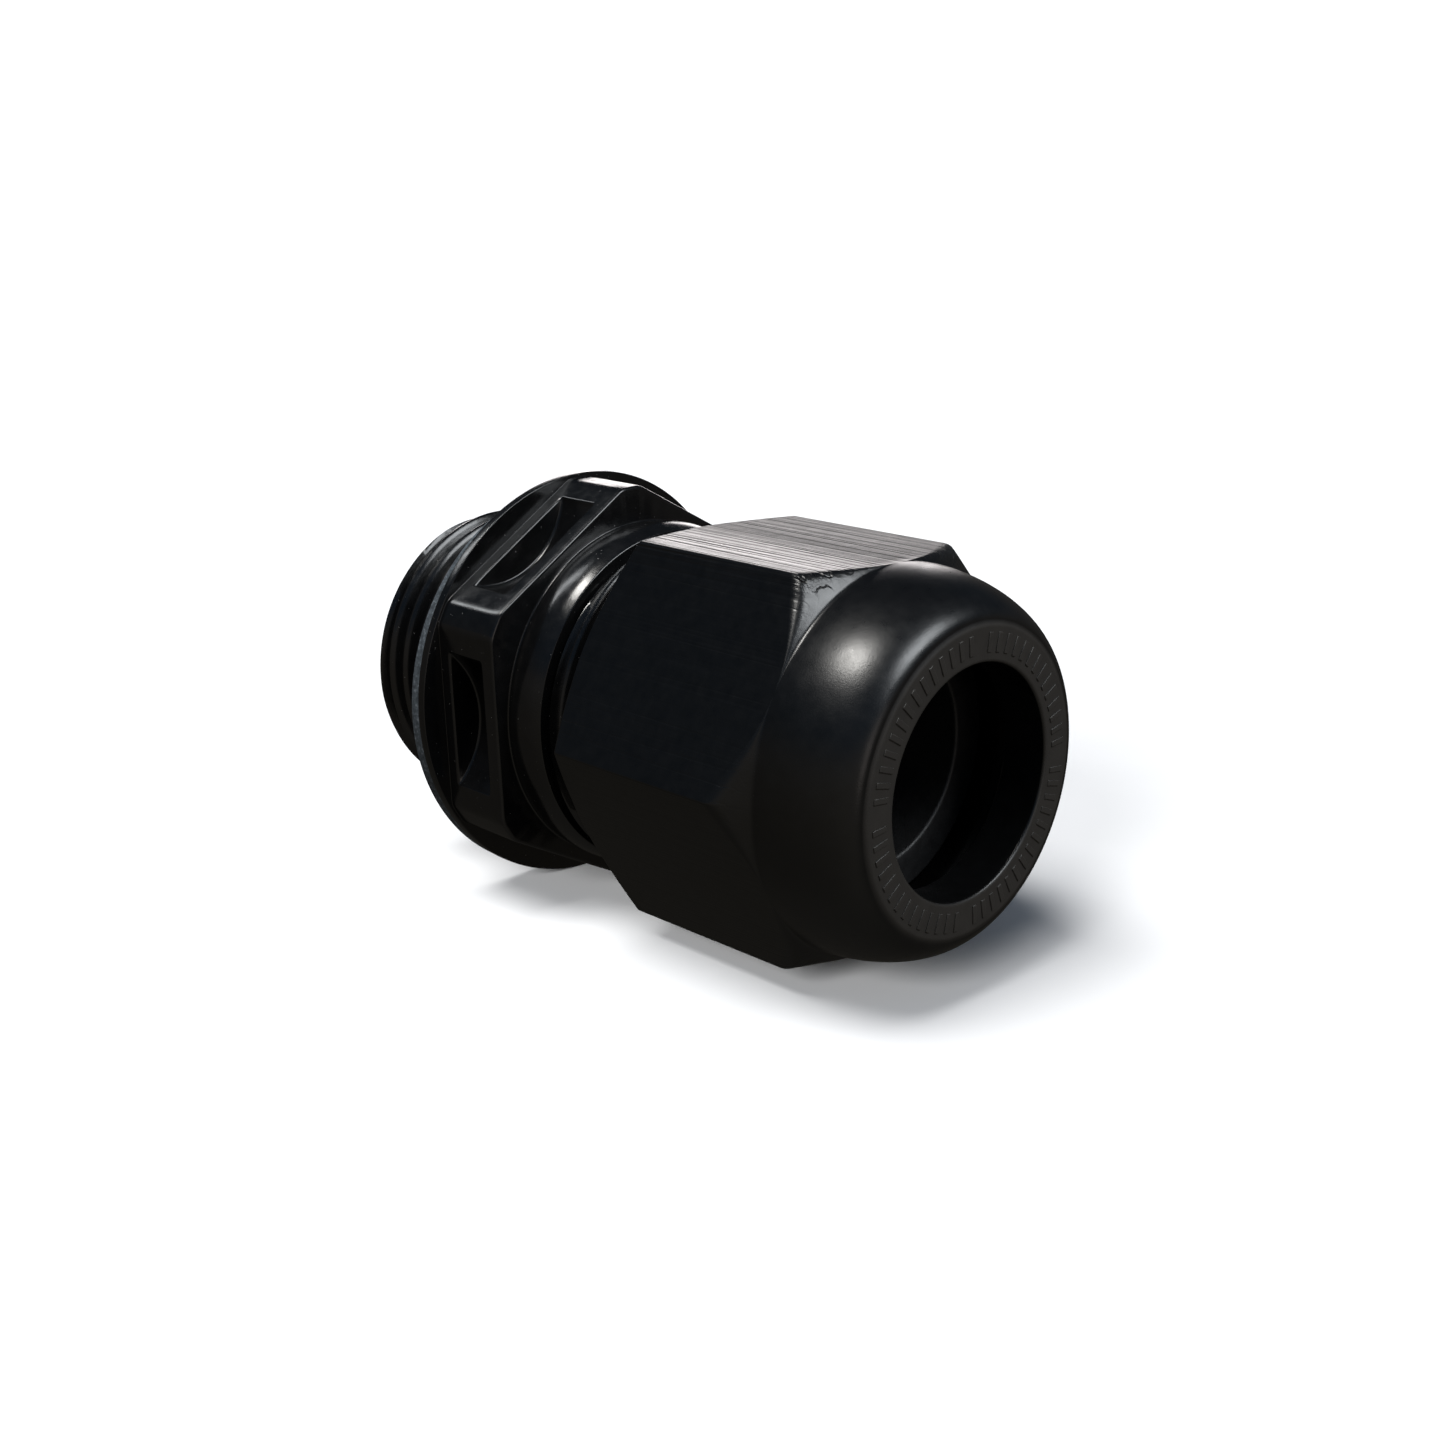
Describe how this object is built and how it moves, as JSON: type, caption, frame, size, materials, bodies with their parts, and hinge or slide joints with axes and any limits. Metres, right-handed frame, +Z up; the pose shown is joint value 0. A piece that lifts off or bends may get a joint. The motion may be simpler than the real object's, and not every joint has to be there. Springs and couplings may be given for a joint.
{
  "type": "cable gland",
  "caption": "Plastic cable gland with a threaded spigot, flange gasket, hexagon body, ring of clamping fingers, rubber seal and screwed dome nut.",
  "frame": {"origin": "middle of the bounding box's bottom face, under the gland as it lies on its side", "axes": "+X along the gland's axis towards the dome nut's front, +Z up, +Y across"},
  "size_m": [0.0428, 0.0274, 0.0273],
  "materials": {
    "body_nylon": "moulded black nylon, semi-gloss",
    "nut_nylon": "moulded black nylon, satin flats and dome, matte front ring",
    "finger_nylon": "moulded black nylon",
    "gasket_fibre": "matte compressed gasket sheet with fine speckle",
    "seal_rubber": "smooth black rubber"
  },
  "bodies": {
    "body": {"gland_body": "body_nylon", "flange_gasket": "gasket_fibre"},
    "seal": {"seal": "seal_rubber"},
    "nut": {"dome_nut": "nut_nylon"},
    "finger_01": {"clamping_finger_01": "finger_nylon"},
    "finger_02": {"clamping_finger_02": "finger_nylon"},
    "finger_03": {"clamping_finger_03": "finger_nylon"},
    "finger_04": {"clamping_finger_04": "finger_nylon"},
    "finger_05": {"clamping_finger_05": "finger_nylon"},
    "finger_06": {"clamping_finger_06": "finger_nylon"},
    "finger_07": {"clamping_finger_07": "finger_nylon"},
    "finger_08": {"clamping_finger_08": "finger_nylon"},
    "finger_09": {"clamping_finger_09": "finger_nylon"},
    "finger_10": {"clamping_finger_10": "finger_nylon"}
  },
  "joints": [
    {"name": "nut_turn", "type": "hinge", "parent": "body", "child": "seal", "pos_m": [0, 0, 0.01365], "axis": [1, 0, 0], "range_deg": [-696.1, 1368.1]},
    {"name": "nut_travel", "type": "slide", "parent": "seal", "child": "nut", "axis": [1, 0, 0], "range_m": [-0.0029, 0.0057]},
    {"name": "finger_01_flex", "type": "hinge", "parent": "body", "child": "finger_01", "pos_m": [0.00756, 0.00923, 0.01365], "axis": [0, 0, -1], "range_deg": [-4.8, 2.5]},
    {"name": "finger_02_flex", "type": "hinge", "parent": "body", "child": "finger_02", "pos_m": [0.00756, 0.00746, 0.01907], "axis": [0, 0.5878, -0.809], "range_deg": [-4.8, 2.5]},
    {"name": "finger_03_flex", "type": "hinge", "parent": "body", "child": "finger_03", "pos_m": [0.00756, 0.00285, 0.02242], "axis": [0, 0.9511, -0.309], "range_deg": [-4.8, 2.5]},
    {"name": "finger_04_flex", "type": "hinge", "parent": "body", "child": "finger_04", "pos_m": [0.00756, -0.00285, 0.02242], "axis": [0, 0.9511, 0.309], "range_deg": [-4.8, 2.5]},
    {"name": "finger_05_flex", "type": "hinge", "parent": "body", "child": "finger_05", "pos_m": [0.00756, -0.00746, 0.01907], "axis": [0, 0.5878, 0.809], "range_deg": [-4.8, 2.5]},
    {"name": "finger_06_flex", "type": "hinge", "parent": "body", "child": "finger_06", "pos_m": [0.00756, -0.00923, 0.01365], "axis": [0, 0, 1], "range_deg": [-4.8, 2.5]},
    {"name": "finger_07_flex", "type": "hinge", "parent": "body", "child": "finger_07", "pos_m": [0.00756, -0.00746, 0.00823], "axis": [0, -0.5878, 0.809], "range_deg": [-4.8, 2.5]},
    {"name": "finger_08_flex", "type": "hinge", "parent": "body", "child": "finger_08", "pos_m": [0.00756, -0.00285, 0.00488], "axis": [0, -0.9511, 0.309], "range_deg": [-4.8, 2.5]},
    {"name": "finger_09_flex", "type": "hinge", "parent": "body", "child": "finger_09", "pos_m": [0.00756, 0.00285, 0.00488], "axis": [0, -0.9511, -0.309], "range_deg": [-4.8, 2.5]},
    {"name": "finger_10_flex", "type": "hinge", "parent": "body", "child": "finger_10", "pos_m": [0.00756, 0.00746, 0.00823], "axis": [0, -0.5878, -0.809], "range_deg": [-4.8, 2.5]}
  ],
  "couplings": [
    {"joint": "nut_turn", "follows": "nut_travel", "rad_per_m": 4188.8},
    {"joint": "finger_01_flex", "follows": "nut_travel", "rad_per_m": -14.544},
    {"joint": "finger_02_flex", "follows": "nut_travel", "rad_per_m": -14.544},
    {"joint": "finger_03_flex", "follows": "nut_travel", "rad_per_m": -14.544},
    {"joint": "finger_04_flex", "follows": "nut_travel", "rad_per_m": -14.544},
    {"joint": "finger_05_flex", "follows": "nut_travel", "rad_per_m": -14.544},
    {"joint": "finger_06_flex", "follows": "nut_travel", "rad_per_m": -14.544},
    {"joint": "finger_07_flex", "follows": "nut_travel", "rad_per_m": -14.544},
    {"joint": "finger_08_flex", "follows": "nut_travel", "rad_per_m": -14.544},
    {"joint": "finger_09_flex", "follows": "nut_travel", "rad_per_m": -14.544},
    {"joint": "finger_10_flex", "follows": "nut_travel", "rad_per_m": -14.544}
  ]
}
